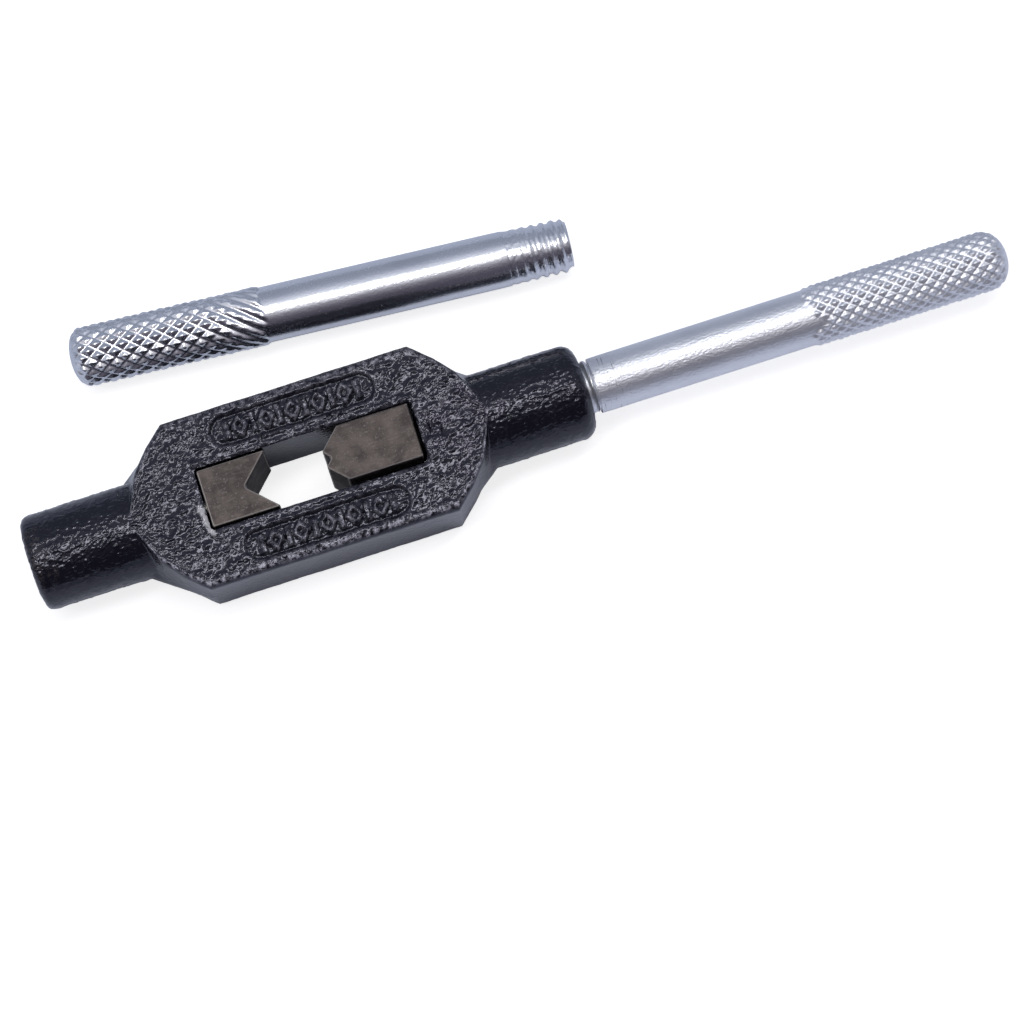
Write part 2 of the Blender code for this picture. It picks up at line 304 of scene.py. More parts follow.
# %% Casting sizes
BARREL_R = 6.0
BARREL_END = 35.4
NECK_X, WALL_NECK_X = 22.6, 22.3
CORNER_X = 16.0
LEFT_RIDGE_SHIFT = 0.6
FRAME_W = 21.4
EDGE_R = 1.0
LEFT_RIM_R, RIGHT_RIM_R = 1.1, 1.8
AXIS_Z = 6.0
WINDOW_LEFT, WINDOW_RIGHT, WINDOW_HALF = -13.2, 14.3, 3.95
PANEL_X, PANEL_Y, PANEL_LENGTH, PANEL_WIDTH = 0.4, 7.35, 20.4, 3.4
ALONG_STEP = 0.19
RIDGE_X = (CORNER_X, 18.6, 20.7, 21.8, NECK_X)
RIDGE_Y = (FRAME_W / 2, 8.2, 5.6, 3.2, 1.35)


def ridge_across(x):
    """Half width of the top face, which bends in towards the barrels."""
    spots = np.abs(x) + np.where(x < 0, LEFT_RIDGE_SHIFT, 0.0)
    return np.interp(spots, RIDGE_X, RIDGE_Y)


def wall_across(x):
    """Half width halfway up, where the two halves of the mould meet."""
    return np.interp(np.abs(x), (CORNER_X, WALL_NECK_X), (FRAME_W / 2, BARREL_R))


TOP_POINTS, BOTTOM_POINTS, BEND_POINTS, WALL_POINTS = 97, 41, 8, 11


def section_points():
    """One trip round the section, starting on the top face.

    Each point has its share across the face, round the bend and down the wall, and the side it is
    on: 1 above the middle and -1 below.
    """
    bend = [(1, t, 0, 1) for t in np.linspace(0, 1, BEND_POINTS)[1:]]
    wall = [(1, 1, t, 1) for t in np.linspace(0, 1, WALL_POINTS)[1:]]
    upper = bend + wall
    lower = [(top, bent, down, -1) for top, bent, down, _ in upper[-2::-1]]
    top = [(t, 0, 0, 1) for t in np.linspace(-1, 1, TOP_POINTS)]
    bottom = [(t, 0, 0, -1) for t in np.linspace(1, -1, BOTTOM_POINTS)]
    half = upper + lower
    return np.array(top + half + bottom + [(-share[0], *share[1:]) for share in half[::-1]])


section = section_points()
print("one section has", len(section), "points")

# %% [markdown]
# ## The cast skin
#
# Sand leaves a pebbled skin on the flat faces, and thick paint softens it. The sides of the frame
# were in cleaner sand and are smoother. Each point moves along its own normal by a little noise:
# stronger on the faces, weaker on the sides, so light catches hundreds of small facets.
#
# Both long panels are sunk into the face with a groove round them. The marks inside are a plain row
# of raised lozenges and bars.

# %% Heights on the face
PANEL_SINK, GROOVE_DEPTH, MARK_HEIGHT = 0.18, 0.26, 0.36
PANEL_RIM, WINDOW_RIM, WINDOW_ROUNDING = 0.1, 0.05, 0.1
MARK_STEP = 3.3
MARKS_END = 8.6


def bump_round(distance, middle, width):
    """1 where the distance is at the middle of a rounded ridge or groove, and 0 well away."""
    return np.exp(-((distance - middle) / width) ** 2)


def panel_distance(x, y):
    """Distance in millimetres to the outline of the nearer panel, negative inside it."""
    radius = PANEL_WIDTH / 2
    reach = np.maximum(np.abs(x - PANEL_X) - PANEL_LENGTH / 2 + radius, 0)
    return np.hypot(reach, np.abs(y) - PANEL_Y) - radius


def panel_marks(x, y):
    """1 on the raised marks: outlined lozenges with a bar between each pair."""
    across = np.abs(np.abs(y) - PANEL_Y)
    along = (x - PANEL_X + MARK_STEP / 2) % MARK_STEP - MARK_STEP / 2
    lozenge = np.abs(along) / 1.1 + across / 1.35 - 0.76
    bars = np.maximum(np.abs(np.abs(along) - MARK_STEP / 2) - 0.08, across - 0.95)
    line = np.minimum(np.abs(lozenge) * 0.8, np.maximum(bars, 0))
    inside = 1 - smoothstep(np.abs(x - PANEL_X), MARKS_END - 0.1, MARKS_END + 0.1)
    return (1 - smoothstep(line, 0.16, 0.32)) * inside


def window_distance(x, y):
    """Distance in millimetres to the window, 0 inside it."""
    beyond = np.maximum(WINDOW_LEFT - x, x - WINDOW_RIGHT)
    return np.hypot(np.maximum(beyond, 0), np.maximum(np.abs(y) - WINDOW_HALF, 0))


def face_height(x, y):
    """Height of the face above flat, in millimetres, without its noise."""
    panel, window = panel_distance(x, y), window_distance(x, y)
    height = -PANEL_SINK * (1 - smoothstep(panel, -0.25, 0.0))
    height -= GROOVE_DEPTH * bump_round(panel, -0.02, 0.2)
    height += MARK_HEIGHT * panel_marks(x, y) * (panel < -0.2)
    height += PANEL_RIM * bump_round(panel, 0.42, 0.22)
    height -= WINDOW_ROUNDING * bump_round(window, 0, 0.15)
    return height + WINDOW_RIM * bump_round(window, 0.45, 0.25)


panel_middle = np.meshgrid(np.linspace(-MARKS_END, MARKS_END, 400), [PANEL_Y])
print("panel marks cover", round(float(panel_marks(*panel_middle).mean()), 2))

# %% [markdown]
# ## Building the casting
#
# The grid comes first, with its noise and panels, and the window and the two holes are cut last, as
# they are on the real one: the window is broached and the barrels are drilled through the cast skin,
# so their edges are crisp. The left barrel's hole is tapped, so its cutter is a threaded rod. A texture
# could stand in for the thread, but a real one shows its ridges in the mouth of the hole.

# %% Threads
THREAD_PITCH = 1.25
TAPPED_R, TAPPED_DEPTH, TAPPED_BORE_R = 3.55, 0.5, 3.05
HOLE_SEGMENTS = 64


def ridge(turn):
    """0 at whole turns, rising straight to 1 halfway between them."""
    return 1 - np.abs(2 * (turn % 1.0) - 1)


def thread_bite(along, angle):
    """0 on the crests of a right-hand thread and 1 at its roots."""
    return 1 - smoothstep(ridge(along / THREAD_PITCH - angle / (2 * math.pi)), 0.12, 0.9)


def round_grid(along, radius_at, segments, axis_z=AXIS_Z):
    """Rings about a line along X. radius_at takes the places along and the angles."""
    angle = np.linspace(0, 2 * math.pi, segments, endpoint=False)
    along, angle = np.meshgrid(along, angle, indexing="ij")
    radius = radius_at(along, angle)
    return np.stack([along, radius * np.cos(angle), axis_z + radius * np.sin(angle)], axis=-1)


def hole_cutter(name, stops):
    """A turned plug. The stops are pairs of a place along and the radius there."""
    along, radius = zip(*stops)
    rings = round_grid(np.array(along), lambda s, a: np.interp(s, along, radius), HOLE_SEGMENTS)
    return grid_mesh(name, rings)


def threaded_cutter():
    """The tap for the left barrel, with a cone that opens the hole's mouth."""
    along = np.arange(-36.9, -24.99, 0.1)

    def radius(s, a):
        mouth = np.clip(-34.9 - s, 0, 3)
        return np.maximum(TAPPED_R - TAPPED_DEPTH * thread_bite(s, a), TAPPED_BORE_R + mouth)

    return grid_mesh("tap", round_grid(along, radius, HOLE_SEGMENTS))


print("thread pitch", THREAD_PITCH, "mm")

# %% Window cutter
WINDOW_CORNERS = (
    (WINDOW_RIGHT, WINDOW_HALF, 0.5, 0), (WINDOW_LEFT, WINDOW_HALF, 0.5, 90),
    (WINDOW_LEFT, -WINDOW_HALF, 0.5, 180), (WINDOW_RIGHT, -WINDOW_HALF, 0.95, 270),
)


def window_cutter():
    """A block with rounded corners. Each corner has its place, its radius and its first angle."""
    outline = []
    for corner_x, corner_y, r, start in WINDOW_CORNERS:
        x, y = corner_x - math.copysign(r, corner_x), corner_y - math.copysign(r, corner_y)
        for k in range(5):
            angle = math.radians(start + 22.5 * k)
            outline.append((x + r * math.cos(angle), y + r * math.sin(angle)))
    rings = np.array([[(x, y, z) for x, y in outline] for z in np.linspace(-1, 13, 29)])
    return grid_mesh("broach", rings)


print("window", round(WINDOW_RIGHT - WINDOW_LEFT, 2), "by", 2 * WINDOW_HALF, "mm")

# %% Casting grid
TOP_ARC, BEND_ARC, QUARTER_TURN = 0.42, 0.12, 1.5708


def along_one_side(rim_r):
    """Places of the sections from the middle to one end, closer together round the rim."""
    straight = np.arange(0, BARREL_END - rim_r - ALONG_STEP / 2, ALONG_STEP)
    return np.concatenate([straight, BARREL_END - rim_r * (1 - np.sin(np.linspace(0, 1.57, 10)))])


def casting_points():
    """The plain casting: the frame's sections, pushed out to the barrels where they are inside."""
    left, right = along_one_side(LEFT_RIM_R), along_one_side(RIGHT_RIM_R)
    along = np.concatenate([-left[:0:-1], right])
    rim_r = np.where(along < 0, LEFT_RIM_R, RIGHT_RIM_R)
    ridge_y, wall_y = ridge_across(along)[:, None], wall_across(along)[:, None]
    edge = EDGE_R * (0.45 + 0.55 * ridge_y * 2 / FRAME_W)
    top, bent, down, side = section.T
    foot = ridge_y + (wall_y - ridge_y) * edge / BARREL_R
    corner = (1 - bent) ** 2 * (ridge_y - edge) + 2 * bent * (1 - bent) * ridge_y + bent ** 2 * foot
    corner_up = BARREL_R - bent ** 2 * edge
    across = top * (corner + (wall_y - foot) * down)
    up = side * corner_up * (1 - down)
    distance = np.hypot(across, up)
    wall_arc = QUARTER_TURN - (TOP_ARC + BEND_ARC)
    even = np.sign(top) * (TOP_ARC + BEND_ARC * bent + wall_arc * down)
    even = np.where(np.abs(top) < 1, TOP_ARC * top, even)
    angle = np.arctan2(across, up * side)
    spread = smoothstep(np.abs(along), NECK_X, NECK_X + 5)[:, None]
    angle += (even - angle) * spread
    rim = np.clip(np.abs(along) - (BARREL_END - rim_r), 0, rim_r)
    radius = (BARREL_R - rim_r + np.sqrt(np.maximum(rim_r ** 2 - rim ** 2, 0)))[:, None]
    grown = np.where(np.abs(along)[:, None] < NECK_X, np.maximum(distance, radius), radius)
    across, up = grown * np.sin(angle), side * grown * np.cos(angle)
    x = np.broadcast_to(along[:, None], across.shape)
    return np.stack([x, across, AXIS_Z + up], axis=-1)


def grid_normals(points):
    around = np.roll(points, -1, axis=1) - np.roll(points, 1, axis=1)
    along = np.gradient(points, axis=0)
    normal = np.cross(along, around)
    return normal / np.maximum(np.linalg.norm(normal, axis=-1, keepdims=True), 1e-9)


casting_grid = casting_points()
print("casting grid", casting_grid.shape)

# %% [markdown]
# ## Skin, bead, worn places and a painted highlight
#
# The paint gathers in a bead along the rim of the face, and a tool has left a few short marks beside
# the moving jaw. Both go into the grid with the skin and the panels. The same distances say where the
# paint is lighter grey: worn, and along the rim also a painted highlight that is stronger on the front
# edge. So each point also keeps a value for the skin, the worn and lit edges, the chip and the bloom,
# and the paint reads them later. They could be painted on by hand, but a rule is easier to change.

# %% Tool marks, skin and bead
TOOL_MARKS = ((14.9, -0.1, 1.1), (15.6, -0.2, 1.1), (16.2, -0.3, 0.9), (16.9, -0.5, 0.9))
TOOL_MARK_DEPTH = 0.22
SIDE_SKIN, FACE_SKIN, BARREL_SKIN, BEAD_HEIGHT = 0.02, 0.095, 0.045, 0.1
FACE_Z = 11.9  # the face is above this height


def tool_marks(x, y):
    """Depth of the short marks beside the moving jaw's end of the window."""
    depth = np.zeros_like(x)
    for start, middle, reach in TOOL_MARKS:
        line = np.abs(x - start + 0.08 * (y - middle)) / 0.17
        ends = 1 - smoothstep(np.abs(y - middle), reach - 0.2, reach + 0.1)
        depth += TOOL_MARK_DEPTH * np.exp(-line ** 2) * ends
    return depth


def pebble_height(points):
    """A cast skin of rounded grains, about 0 to 1, with flat ground between them."""
    grains = noise_at(points * (0.85, 1.0, 1.0), 0.56) + 0.45 * noise_at(points, 0.33, 31.0)
    return smoothstep(grains, -0.15, 0.95)


def edge_bead(points):
    """1 along the rim of the face, where the paint has gathered in a bead."""
    around = points.shape[1]
    from_left = np.abs((np.arange(around) + 1.5 + around / 2) % around - around / 2)
    from_right = np.abs(np.arange(around) - (TOP_POINTS + 0.5))
    near = bump_round(from_left, 0, 1.5) + 0.5 * bump_round(from_right, 0, 1.5)
    return near[None, :] * (1 - smoothstep(np.abs(points[..., 0]), NECK_X - 1.5, NECK_X))


def shape_casting(points):
    """The grid with its skin, panels and bead, and how strong the skin is at each point."""
    x, y = points[..., 0], points[..., 1]
    normal = grid_normals(points)
    flatness = smoothstep(np.abs(normal[..., 2]), 0.55, 0.96)
    barrel = smoothstep(np.abs(x), NECK_X - 1, NECK_X)
    depth = SIDE_SKIN + FACE_SKIN * flatness * (1 - barrel) + BARREL_SKIN * barrel
    height = depth * (pebble_height(points) - 0.4) + 0.03 * noise_at(points, 4.0, 7.0)
    face = smoothstep(normal[..., 2], 0.985, 0.998) * (points[..., 2] > FACE_Z)
    height += face * (face_height(x, y) - tool_marks(x, y))
    height += BEAD_HEIGHT * edge_bead(points)
    return points + normal * height[..., None], flatness


casting_surface, casting_skin = shape_casting(casting_grid)
print("top of the skin", round(float(casting_surface[..., 2].max()), 2), "mm")

# %% Worn places and a painted highlight


def edge_wear_and_highlight(points):
    """Where the paint is lighter: worn on the rim, round the window and panels and on the marks, and a
    painted highlight along the rim.
    """
    x, y = points[..., 0], points[..., 1]
    panel, window = panel_distance(x, y), window_distance(x, y)
    raised = 0.4 * panel_marks(x, y) * (panel < -0.2) + 0.25 * bump_round(panel, 0.35, 0.15)
    raised += 0.25 * bump_round(window, 0.35, 0.15)
    # the rim's bead carries both wear and a painted highlight, twice as strong on the front rim
    worn = edge_bead(points) + raised * (points[..., 2] > FACE_Z - 0.5)
    return np.minimum(worn, 1) * smoothstep(noise_at(points, 0.6, 3.0), -0.6, 0.5)


def patch(points, start, end, size):
    """1 near a short line between two places, with a ragged outline."""
    start, line = np.array(start), np.subtract(end, start)
    share = np.clip((points - start) @ line / (line @ line), 0, 1)
    distance = np.linalg.norm(points - start - share[..., None] * line, axis=-1) / size
    return smoothstep(1.0 - distance + 0.7 * noise_at(points, 0.7, 11.0), 0.0, 0.5)


casting_marks = {
    "skin": casting_skin,
    # lighter paint: wear, and a painted highlight along the rim
    "edge": edge_wear_and_highlight(casting_surface),
    "chip": patch(casting_surface, (-13.7, -1.0, 12.0), (-13.2, -3.9, 12.0), 0.5),
    "rust": patch(casting_surface, (-34.8, -2.5, 11.5), (-34.8, 2.0, 11.5), 2.2),
}
for mark, values in casting_marks.items():
    print(mark, "covers", round(100 * float(values.mean()), 1), "percent of the points")

# %% Casting
SCREW_HOLE = ((-26, 3.0), (-22.54, 3.0), (-22.53, 1.8), (-10, 1.8))
SPINDLE_HOLE = ((11, 3.52), (27.05, 3.52), (27.35, 3.7), (35.0, 3.7), (37.0, 5.7))


def make_casting():
    body = grid_mesh("casting", casting_surface, casting_marks)
    cut_away(body, window_cutter())
    cut_away(body, threaded_cutter())
    cut_away(body, hole_cutter("drill", SCREW_HOLE))
    cut_away(body, hole_cutter("counterbore", SPINDLE_HOLE))
    body.data.set_sharp_from_angle(angle=math.radians(58))
    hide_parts("body_casting")
    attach(body, "casting")
    print("casting", len(body.data.polygons), "faces")
    return body


casting = make_casting()

# %% [markdown]
# ## Black enamel over a cast skin
#
# The paint is a glossy black with a hint of blue, thick enough to round the pebbles. Its gloss is
# uneven, and it has rubbed thin along the rim of the face and on the raised marks, where grey metal
# starts to show; along the rim that lighter grey is also a painted highlight, stronger at the front. A
# small chip by the window is bare, and the open barrel's end has a brown bloom. Noise alone would
# scatter the wear anywhere, so the mesh's marks say where it is and noise only breaks it up.

# %% Black paint


def black_paint():
    paint = Finish("black_enamel")
    skin, edge = paint.attribute("skin"), paint.attribute("edge")
    fine = paint.grain(0.22, 3.0)
    lumps = paint.grain(0.62, 1.5)
    cloud = paint.grain(3.5, 3.0)
    color = paint.mix(cloud, (0.003, 0.003, 0.006, 1), (0.007, 0.0065, 0.011, 1))
    # lighter grey where the paint is worn, and along the rim also a painted highlight
    worn = edge * paint.step(fine, 0.36, 0.56)
    color = paint.mix(paint.clamp(worn * 1.1), color, (0.38, 0.37, 0.42, 1))
    rust = paint.attribute("rust") * paint.step(fine, 0.4, 0.65)
    color = paint.mix(paint.clamp(rust * 0.6), color, (0.06, 0.05, 0.045, 1))
    color = paint.mix(paint.attribute("chip"), color, (0.46, 0.45, 0.46, 1))
    paint.feed(paint.shader.inputs["Base Color"], color)
    rough = 0.09 + cloud * 0.08 + edge * 0.15
    paint.feed(paint.shader.inputs["Roughness"], paint.clamp(rough))
    paint.shader.inputs["IOR"].default_value = 1.52
    paint.shader.inputs["Specular Tint"].default_value = (0.86, 0.86, 1.0, 1)
    relief = fine * 0.07 + paint.step(lumps, 0.42, 0.72)
    paint.feed(paint.shader.inputs["Normal"], paint.bump(relief * (0.3 + skin * 0.7), 0.06, 1.0))
    return paint.material


def give(obj, material):
    obj.data.materials.clear()
    obj.data.materials.append(material)


give(casting, black_paint())
print("casting painted")

# %% [markdown]
# ## Jaws
#
# The jaws are hardened blocks left with their brown-grey heat-treatment scale. Their shape is
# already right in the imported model, so a copy is remeshed finely: the new grid rounds every edge a
# little, as tumbling does, and each point knows how far it is from flat, which is where the scale
# has worn to bright steel. A bevel would round the edges too, but would leave no points for the wear.

# %% Jaws
JAW_GRID, JAW_ROUGHNESS = 0.13, 0.014
SLANT = 0.7071  # a normal's share along X or Y where a face is at 45 degrees


def remeshed(node, name, size_mm):
    """A fine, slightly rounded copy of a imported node."""
    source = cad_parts[node]
    obj = add_object(name, source.data.copy())
    modifier = obj.modifiers.new("fine", "REMESH")
    modifier.mode = "VOXEL"
    modifier.voxel_size = size_mm * MM
    modifier = obj.modifiers.new("ease", "SMOOTH")
    modifier.factor, modifier.iterations = 0.5, 2
    apply_modifiers(obj)
    obj.data.shade_smooth()
    return obj


def roughen(mesh, depth_mm):
    """Moves points along their normals and marks the rounded edges."""
    count = len(mesh.vertices)
    places = np.empty(count * 3)
    normals = np.empty(count * 3)
    mesh.vertices.foreach_get("co", places)
    mesh.vertex_normals.foreach_get("vector", normals)
    places, normals = places.reshape(-1, 3), normals.reshape(-1, 3)
    middle = (places - np.array(MIDDLE)) / MM
    height = 0.6 * noise_at(middle, 1.3) + 0.4 * noise_at(middle, 0.4, 9.0)
    mesh.vertices.foreach_set("co", (places + normals * height[:, None] * depth_mm * MM).ravel())
    square = np.abs(normals).max(axis=1)
    slanted = np.abs(np.abs(normals[:, :2]).max(axis=1) - SLANT) < 0.02
    add_mark(mesh, "edge", (1 - smoothstep(square, 0.90, 0.985)) * ~slanted)
    mesh.update()


def make_jaw(node, body):
    jaw = remeshed(node, node + "_block", JAW_GRID)
    roughen(jaw.data, JAW_ROUGHNESS)
    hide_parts(node)
    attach(jaw, body)
    print(node, len(jaw.data.polygons), "faces")
    return jaw


fixed_jaw = make_jaw("fixed_jaw", "casting")
moving_jaw = make_jaw("moving_jaw", "moving_jaw")

# %% Jaw steel


def jaw_steel():
    steel = Finish("scaled_steel")
    edge = steel.attribute("edge")
    cloud = steel.grain(2.2, 5.0)
    speckle = steel.grain(0.25, 3.0)
    streak = steel.grain(0.3, 3.0, (0.4, 1.0, 1.0))
    color = steel.mix(steel.step(cloud, 0.3, 0.7), (0.050, 0.040, 0.037, 1), (0.115, 0.095, 0.086, 1))
    color = steel.mix(steel.step(streak, 0.5, 0.8) * 0.35, color, (0.22, 0.195, 0.18, 1))
    color = steel.mix(steel.step(speckle, 0.58, 0.72) * 0.4, color, (0.34, 0.31, 0.29, 1))
    color = steel.mix(steel.clamp(edge * (0.5 + speckle * 0.8)), color, (0.50, 0.46, 0.42, 1))
    steel.feed(steel.shader.inputs["Base Color"], color)
    steel.shader.inputs["Metallic"].default_value = 0.7
    steel.feed(steel.shader.inputs["Roughness"], steel.clamp(0.42 + speckle * 0.3 - edge * 0.1))
    steel.feed(steel.shader.inputs["Normal"], steel.bump(speckle + streak + cloud * 2, 0.03, 0.6))
    return steel.material


scaled_steel = jaw_steel()
give(fixed_jaw, scaled_steel)
give(moving_jaw, scaled_steel)
print("jaws finished")

# %% [markdown]
# ## The screw and the pin
#
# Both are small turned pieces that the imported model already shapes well, so they keep its mesh and
# only get a finish: a slightly yellowish turned steel with fine rings round the axis.

# %% Screw and pin steel


def turned_steel(name, color, roughness):
    steel = Finish(name)
    rings = steel.grain(0.18, 2.0, (1.0, 0.08, 0.08))
    stain = steel.grain(1.8, 3.0)
    shade = tuple(0.7 * c for c in color[:3]) + (1,)
    steel.feed(steel.shader.inputs["Base Color"], steel.mix(stain, shade, color))
    steel.shader.inputs["Metallic"].default_value = 1.0
    steel.feed(steel.shader.inputs["Roughness"], steel.clamp(roughness + stain * 0.15))
    steel.feed(steel.shader.inputs["Normal"], steel.bump(rings, 0.02, 0.4))
    return steel.material


def finish_packed(node, material):
    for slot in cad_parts[node].material_slots:
        slot.material = material


finish_packed("fixed_jaw_screw", turned_steel("screw_steel", (0.42, 0.41, 0.38, 1), 0.32))
finish_packed("moving_jaw_pin", turned_steel("pin_steel", (0.46, 0.46, 0.47, 1), 0.26))
print("screw and pin finished")

# %% [markdown]
# ## Handles
#
# Each handle is one turned bar: a thread at the inner end, a plain shank and a rolled diamond knurl
# that ends in a dome. A knurl is two sets of helical grooves that cross. It could be an array of small
# cutters, but hundreds of Booleans are slow and fragile. Working out its radius at every point of a
# fine grid gives true pyramids, and letting one roll bite less than the other near the shank gives the
# slanted ribs of the loose handle.

# %% Bar surface
SHANK_R = 3.5
KNURL_R = 3.8
THREAD_R = 3.42
GROOVE_FLAT, DIAMOND_FLAT = 0.12, 0.20
DOME_POWER = 2.2


def roll_bite(turn):
    """1 on the flat bottom of a rolled groove, 0 on the flat top between two grooves."""
    return 1 - np.clip((ridge(turn) - GROOVE_FLAT) / (1 - GROOVE_FLAT - DIAMOND_FLAT), 0, 1)


def bar_places(inner, shank, tip, dome, thread_step, knurl_step):
    """Places of the rings along a handle, from its inner end, with the shoulder at zero."""
    thread = np.arange(-inner, -0.03, thread_step)
    plain = np.concatenate([[-0.02, 0.0], np.linspace(0.12, shank - 1.3, 22)])
    knurl = np.arange(shank - 1.2, tip - dome, knurl_step)
    end = tip - dome + dome * np.sin(np.linspace(0.02, 1.53, 26))
    return np.concatenate([thread, plain, knurl, end])


def dome_radius(s, tip, dome):
    """Radius of the rounded end, a little squarer than a half ellipse."""
    share = np.clip((s - tip + dome) / dome, 0, 1)
    return KNURL_R * (1 - share ** DOME_POWER) ** (1 / DOME_POWER)


print("bar surface helpers ready")

# %% Handle shapes


def thread_surface(s, a, spot, bar):
    """Radius of the inner end: the turned profile less the thread's bite and some tearing."""
    inner_s, inner_r = zip(*bar["inner"])
    radius = np.interp(s, inner_s, inner_r)
    threaded = radius > 2.9
    torn = noise_at(np.stack([s, spot[..., 1] / 3, spot[..., 2] / 3], axis=-1), 0.3, bar["seed"])
    return radius - threaded * (bar["thread_depth"](s) * thread_bite(s, a) + 0.03 * np.abs(torn))


def knurl_surface(s, a, spot, bar):
    """Radius of the knurl: diamonds that start unevenly at the shank and die away on the dome."""
    shank, tip, starts = bar["shank"], bar["tip"], bar["starts"]
    uneven = bar["uneven_start"] * noise_at(spot, 2.2, bar["seed"] + 5)
    grow = smoothstep(s - shank + uneven, 0.0, bar["fade"])
    fade = 1 - smoothstep(s, tip - 0.45 * bar["dome"], tip - 0.1 * bar["dome"])
    turn = starts * a / (2 * math.pi)
    plus = bar["plus_share"](s - shank) * roll_bite(turn + s / bar["lead"])
    bite = np.maximum(plus, roll_bite(turn - s / bar["lead"]))
    swell = noise_at(spot, 1.3, bar["seed"] + 9)
    crest = SHANK_R + (KNURL_R - SHANK_R - 0.03 + 0.03 * swell) * grow
    crest = np.minimum(crest, dome_radius(s, tip, bar["dome"]))
    return crest - (bar["depth"] + 0.03 * swell) * bite * grow * fade


def handle_grid(bar):
    """A handle along +X from its shoulder at the origin."""
    places = bar_places(-bar["inner"][0][0], bar["shank"], bar["tip"], bar["dome"],
                        bar["thread_step"], bar["knurl_step"])

    def radius(s, a):
        spot = np.stack([s, SHANK_R * np.cos(a), SHANK_R * np.sin(a)], axis=-1)
        knurl = knurl_surface(s, a, spot, bar)
        outer = np.minimum(np.where(s < bar["shank"] - 1, SHANK_R, knurl), SHANK_R - 0.05 + s / 4)
        return np.where(s < 0, thread_surface(s, a, spot, bar), np.maximum(outer, 0.02))

    return round_grid(places, radius, bar["segments"], axis_z=0.0)


def lay_bar(points, shoulder, turn):
    """Turns a bar in the table's plane and puts its shoulder in place."""
    x = shoulder[0] + points[..., 0] * math.cos(turn) - points[..., 1] * math.sin(turn)
    y = shoulder[1] + points[..., 0] * math.sin(turn) + points[..., 1] * math.cos(turn)
    return np.stack([x, y, shoulder[2] + points[..., 2]], axis=-1)


def add_handle(name, bar, node):
    points = handle_grid(bar)
    along = points[..., 0]
    marks = {
        "thread": (along < -0.05) * 1.0,
        # darker and rougher on the part of the thread inside the barrel's hole
        "inner": (1 - smoothstep(along, -3.4, -2.4)) * bar["in_frame"],
        "worn": smoothstep(along, -0.1, 0.0) * (1 - smoothstep(along, 2.5, 4.5)) * bar["in_frame"],
    }
    handle = grid_mesh(name, lay_bar(points, bar["shoulder"], bar["turn"]), marks)
    handle.data.set_sharp_from_angle(angle=math.radians(50))
    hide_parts(node)
    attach(handle, node)
    print(name, len(handle.data.polygons), "faces")
    return handle


print("handle helpers ready")

# %% Two handles
ADJUSTING_BAR = {
    "inner": (
        (-27.6, 2.2), (-27.3, 2.5), (-26.21, 2.5), (-26.2, 1.6), (-24.4, 1.6), (-24.39, 2.5),
        (-22.01, 2.5), (-22.0, 2.95), (-21.6, THREAD_R), (-0.32, THREAD_R), (-0.3, 3.15), (0, 3.15),
    ),
    "thread_depth": lambda s: np.full_like(s, 0.3),
    "shoulder": (36.6, 0.0, AXIS_Z), "turn": 0.0, "in_frame": True,
    "shank": 27.8, "tip": 53.6, "dome": 3.1, "seed": 2.0, "segments": 216,
    "starts": 18, "lead": 1.72, "depth": 0.24, "fade": 1.3, "uneven_start": 1.0,
    "plus_share": np.ones_like, "thread_step": 0.135, "knurl_step": 0.125,
}
PLAIN_BAR = {
    "inner": ((-8.0, 2.9), (-7.5, 3.3), (-7.0, THREAD_R), (0, THREAD_R)),
    "thread_depth": lambda s: 0.07 + 0.25 * smoothstep(-s, 0.5, 5.5),
    "shoulder": (31.5, 19.35, KNURL_R), "turn": math.pi - math.radians(4.6), "in_frame": False,
    "shank": 30.8, "tip": 55.6, "dome": 2.1, "seed": 17.0, "segments": 240,
    "starts": 15, "lead": 2.12, "depth": 0.28, "fade": 0.6, "uneven_start": 0.35,
    "plus_share": lambda s: 0.15 + 0.85 * smoothstep(s, 2.0, 9.5),
    "thread_step": 0.1, "knurl_step": 0.106,
}
adjusting_handle = add_handle("adjusting_bar", ADJUSTING_BAR, "adjusting_handle")
plain_handle = add_handle("plain_bar", PLAIN_BAR, "plain_handle")

# %% [markdown]
# ## Bright plating
#
# The handles are zinc plated. The one in the frame has been handled more and is satin, with a fine
# grain that runs along it. The loose one is brighter. Both keep a faint blue from the plating. One
# roughness for all of it would look like plastic, so streaks vary both the roughness and the normal.

# %% Plating


def plating(name, roughness, grain_depth, thread_scratch):
    plate = Finish(name)
    thread, inner, worn = (plate.attribute(mark) for mark in ("thread", "inner", "worn"))
    streaks = plate.grain(0.26, 3.0, (0.6, 1.0, 1.0))
    rings = plate.grain(0.16, 3.0, (1.0, 0.07, 0.07))
    cloud = plate.grain(4.0, 3.0)
    color = plate.mix(cloud, (0.74, 0.75, 0.79, 1), (0.86, 0.87, 0.90, 1))
    # nearly black on the part of the thread inside the barrel's hole
    color = plate.mix(inner, color, (0.035, 0.032, 0.030, 1))
    scratch = plate.step(rings, 0.60, 0.66) * worn
    color = plate.mix(plate.clamp(scratch * 0.6), color, (0.18, 0.17, 0.16, 1))
    plate.feed(plate.shader.inputs["Base Color"], color)
    plate.shader.inputs["Metallic"].default_value = 1.0
    rough = roughness + cloud * 0.06 + streaks * 0.12 + inner * 0.25
    plate.feed(plate.shader.inputs["Roughness"], plate.clamp(rough))
    relief = streaks * (1 - thread) + rings * (thread * thread_scratch + worn * 0.6)
    plate.feed(plate.shader.inputs["Normal"], plate.bump(relief, grain_depth, 0.6))
    return plate.material


give(adjusting_handle, plating("satin_plating", 0.36, 0.11, 1.4))
give(plain_handle, plating("bright_plating", 0.16, 0.03, 3.5))
print("handles plated")
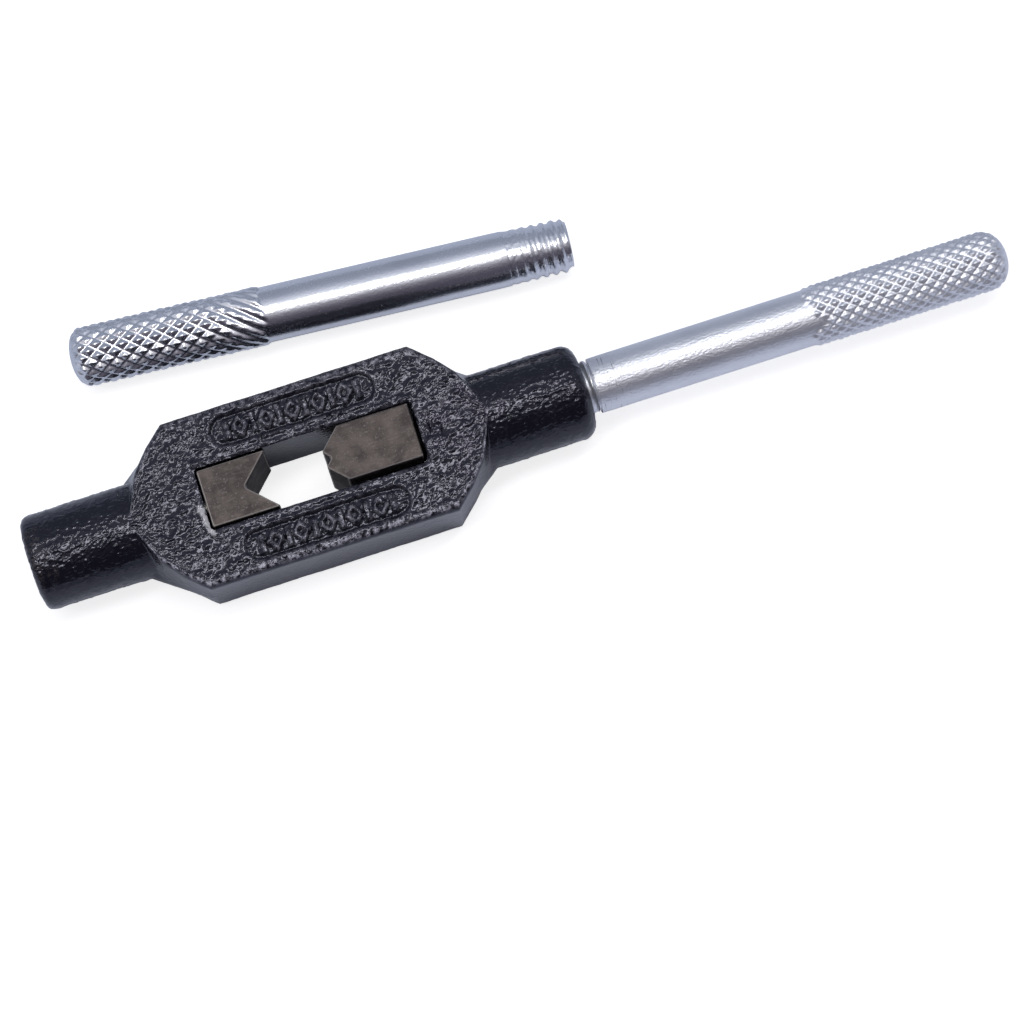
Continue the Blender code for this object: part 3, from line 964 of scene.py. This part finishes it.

# %% [markdown]
# ## Studio
# Bright metal shows the room more than itself. A whole room could be modelled to light it, but a few
# greys do the same and stay plain. They turn about the wrench's length, from 0 degrees straight up: a
# bright ceiling, a cool mid grey behind on the plus side, and on the minus side a dark strip above the
# front, then light low down in front. One long soft lamp above and a little behind gives the bright
# line on each bar. The floor glows where the camera sees it, so that it stays plain and nearly white.
# Where it is only reflected or throws light back, its colour is a painted reflection and painted light:
# light and bluish in front of the wrench and a darker grey behind it. One long soft lamp above and a
# little behind gives the bright
# line on each bar. The floor glows where the camera sees it, so that it stays plain and nearly white.

# %% Studio
ROOM = (
    (-180, (0.46, 0.51, 0.61)), (-84, (0.42, 0.46, 0.56)), (-72, (0.075, 0.07, 0.10)),
    (-46, (0.07, 0.062, 0.085)), (-26, (0.18, 0.175, 0.21)), (-8, (0.52, 0.51, 0.56)),
    (10, (0.62, 0.62, 0.68)), (24, (0.60, 0.63, 0.73)), (36, (0.55, 0.59, 0.70)),
    (50, (0.30, 0.33, 0.42)), (75, (0.26, 0.295, 0.37)), (180, (0.30, 0.34, 0.42)),
)
FLOOR_HALF, FLOOR_TOP, FLOOR_BOTTOM = 900.0, -0.4, -2
FLOOR_GLOW = 0.78


def studio_room():
    world = bpy.data.worlds.new("studio")
    world.use_nodes = True
    bpy.context.scene.world = world
    room = Finish("studio", world.node_tree)
    direction = room.node("TexCoord", {}, {}).outputs["Generated"]
    parts = room.node("SeparateXYZ", {}, {"Vector": direction})
    turn = room.maths("ARCTAN2", room.value(parts, "Y"), room.value(parts, "Z"))
    stops = [(angle / 360 + 0.5, color) for angle, color in ROOM]
    ramp = room.node("ValToRGB", {"stops": stops}, {"Fac": turn * (0.5 / math.pi) + 0.5})
    room.feed(world.node_tree.nodes["Background"].inputs["Color"], ramp.outputs[0])


def studio_lamp(size, power, tilt_degrees, distance):
    """A long lamp over the wrench, tilted back from straight above and turned to lie along the bars."""
    lamp = bpy.data.lights.new("lamp", "AREA")
    lamp.shape = "RECTANGLE"
    lamp.size, lamp.size_y = size
    lamp.energy = power
    obj = add_object("lamp", lamp)
    tilt = math.radians(tilt_degrees)
    obj.rotation_euler = Euler((-tilt, 0, math.radians(15)), "XYZ")
    obj.location = MIDDLE + Vector((0.01, math.sin(tilt) * distance, math.cos(tilt) * distance))
    return obj


def floor_end(y):
    corners = ((-1, FLOOR_TOP), (1, FLOOR_TOP), (1, FLOOR_BOTTOM), (-1, FLOOR_BOTTOM))
    return [(side * FLOOR_HALF, y, z) for side, z in corners]


def pale_floor():
    floor = grid_mesh("floor", np.array([floor_end(-FLOOR_HALF), floor_end(FLOOR_HALF)]))
    paint = Finish("pale_floor")
    place = paint.node("SeparateXYZ", {}, {"Vector": paint.place()})
    side = paint.step(paint.value(place, "Y"), -0.02, 0.03)
    seen = paint.value(paint.node("LightPath", {}, {}), "Is Camera Ray")
    # painted reflection and light: as reflected and as it lights the wrench, the floor is light and
    # bluish in front and a darker grey behind
    reflected_floor_tone = paint.mix(side, (0.80, 0.84, 0.95, 1), (0.52, 0.57, 0.67, 1))
    paint.feed(paint.shader.inputs["Base Color"], paint.mix(seen, reflected_floor_tone, (0.5, 0.5, 0.51, 1)))
    paint.shader.inputs["Roughness"].default_value = 0.9
    paint.shader.inputs["Specular IOR Level"].default_value = 0.0
    glow = paint.mix(seen, (0, 0, 0, 1), (1, 1, 1, 1))
    paint.feed(paint.shader.inputs["Emission Color"], glow)
    paint.shader.inputs["Emission Strength"].default_value = FLOOR_GLOW
    give(floor, paint.material)
    return floor


studio_room()
lamp = studio_lamp(size=(0.9, 0.11), power=2.9, tilt_degrees=6, distance=0.8)
floor = pale_floor()
bpy.context.scene.view_settings.view_transform = "Standard"
print("studio ready")
